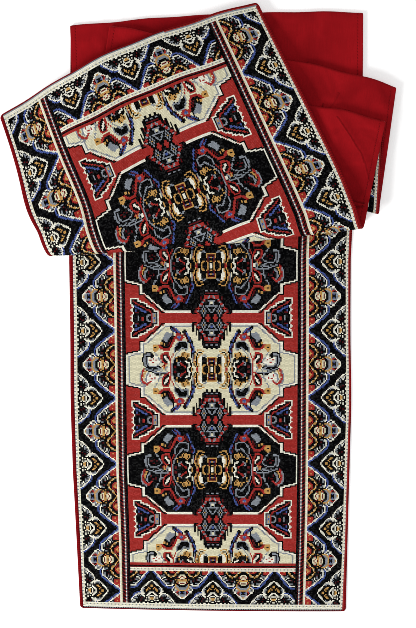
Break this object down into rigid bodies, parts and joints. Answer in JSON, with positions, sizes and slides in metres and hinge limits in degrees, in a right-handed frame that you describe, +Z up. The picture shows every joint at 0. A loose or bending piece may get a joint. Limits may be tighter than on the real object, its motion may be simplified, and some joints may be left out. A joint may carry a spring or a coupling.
{
  "type": "folded table runner",
  "caption": "Long lined table runner with a woven carpet pattern, half laid flat and half folded back and forth with its end flap on top.",
  "frame": {"origin": "on the surface that the runner lies on, on the underside of its flat half, close to the middle of the folded runner seen from above", "axes": "+Z up, +Y along the cloth from its flat end towards the folded stack, +X across the cloth to the right"},
  "size_m": [0.4508, 0.7223, 0.0381],
  "materials": {
    "face_cloth": "matt woven cotton with a carpet pattern in red, black, cream, gold and blue",
    "lining_cloth": "matt plain-woven red cotton with stitched hems"
  },
  "bodies": {
    "root": {"face_panel": "face_cloth", "lining_panel": "lining_cloth"}
  },
  "joints": []
}
